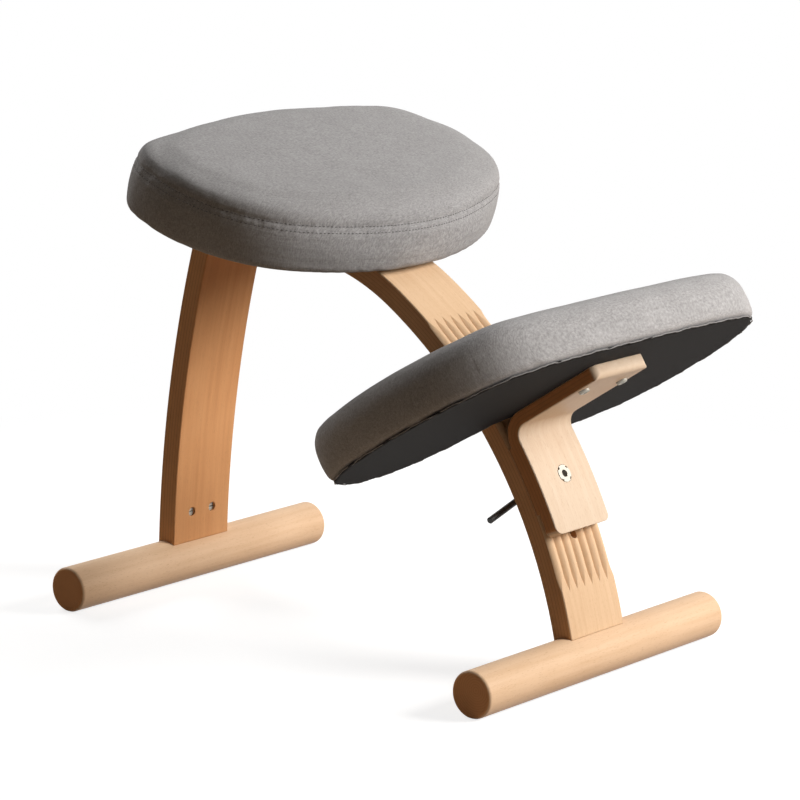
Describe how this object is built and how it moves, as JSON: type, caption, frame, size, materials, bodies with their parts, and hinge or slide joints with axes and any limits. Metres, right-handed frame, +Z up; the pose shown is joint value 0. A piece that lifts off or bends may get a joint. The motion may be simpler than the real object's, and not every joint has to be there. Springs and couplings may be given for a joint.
{
  "type": "kneeling chair",
  "caption": "Kneeling chair of bent wood on dowel feet, with a sloping padded seat and a notched knee pad that slides on the reeded front leg and is held by a lever clamp.",
  "frame": {"origin": "on the floor, below the middle of the chair's width and depth", "axes": "+X across the chair, +Y towards the rear foot, +Z up"},
  "size_m": [0.542, 0.6589, 0.5397],
  "materials": {
    "beech": "clear satin lacquer on beech",
    "plywood": "bare plywood",
    "foam": "open-cell foam",
    "grey_fabric": "grey melange weave",
    "black_lining": "black non-woven cloth",
    "zinc_steel": "zinc plated",
    "black_steel": "black powder coat"
  },
  "bodies": {
    "base": {"front_foot": "beech", "rear_foot": "beech", "front_leg": "beech", "rear_leg": "beech", "front_foot_bolts": "zinc_steel", "rear_foot_bolts": "zinc_steel", "front_barrel_nuts": "zinc_steel", "rear_barrel_nuts": "zinc_steel", "seat_board": "plywood", "seat_foam": "foam", "seat_cover": "grey_fabric", "seat_lining": "black_lining", "seat_t_nuts": "zinc_steel", "seat_bolts": "zinc_steel"},
    "knee_rest": {"knee_bracket": "beech", "knee_board": "plywood", "knee_foam": "foam", "knee_cover": "grey_fabric", "knee_lining": "black_lining", "knee_t_nuts": "zinc_steel", "knee_bolts": "zinc_steel", "bracket_t_nut": "zinc_steel"},
    "clamp": {"clamp_bolt": "zinc_steel", "clamp_washer": "zinc_steel", "clamp_hub": "black_steel", "clamp_lever": "black_steel"}
  },
  "joints": [
    {"name": "knee_slide", "type": "hinge", "parent": "base", "child": "knee_rest", "pos_m": [0, 0.25778, -0.07715], "axis": [-1, 0, 0], "range_deg": [-5.98, 11.54]},
    {"name": "clamp_turn", "type": "hinge", "parent": "knee_rest", "child": "clamp", "pos_m": [0, -0.19018, 0.18969], "axis": [0, 0.8591, -0.5118], "range_deg": [0, 180]}
  ]
}
